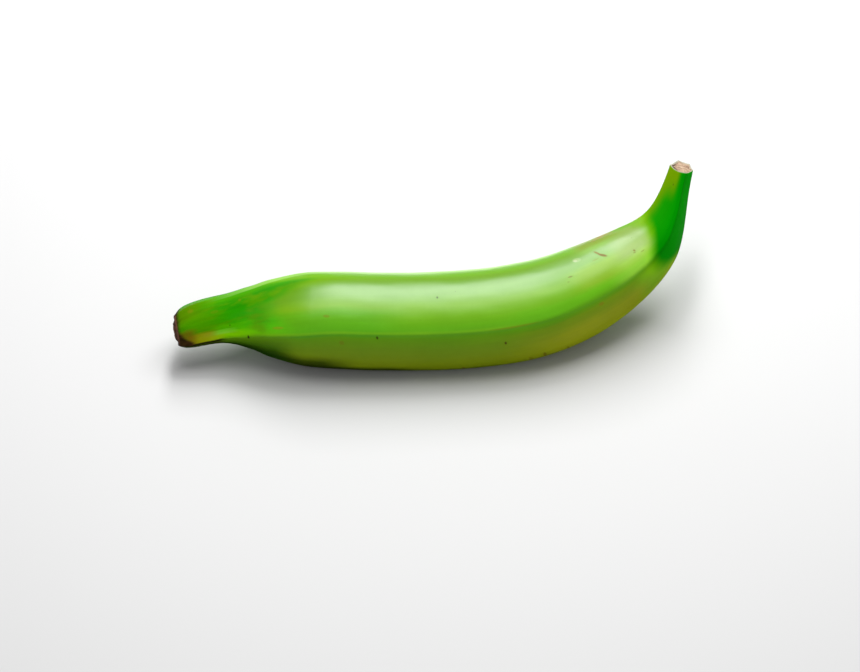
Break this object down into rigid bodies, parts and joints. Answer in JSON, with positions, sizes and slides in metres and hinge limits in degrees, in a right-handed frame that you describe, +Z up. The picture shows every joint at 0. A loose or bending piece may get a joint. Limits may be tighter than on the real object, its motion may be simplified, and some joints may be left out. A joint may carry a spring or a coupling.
{
  "type": "plantain",
  "caption": "Whole green plantain, unripe, lying on its side: ridged peel, slanted cut stem and dried blossom end.",
  "frame": {"origin": "middle of the bounding box, on the surface that the fruit lies on", "axes": "+X from the blossom end towards the stem, +Y the side that the stem bends to, +Z up from the surface"},
  "size_m": [0.2426, 0.0942, 0.0546],
  "materials": {
    "peel": "satin"
  },
  "bodies": {
    "root": {"plantain": "peel"}
  },
  "joints": []
}
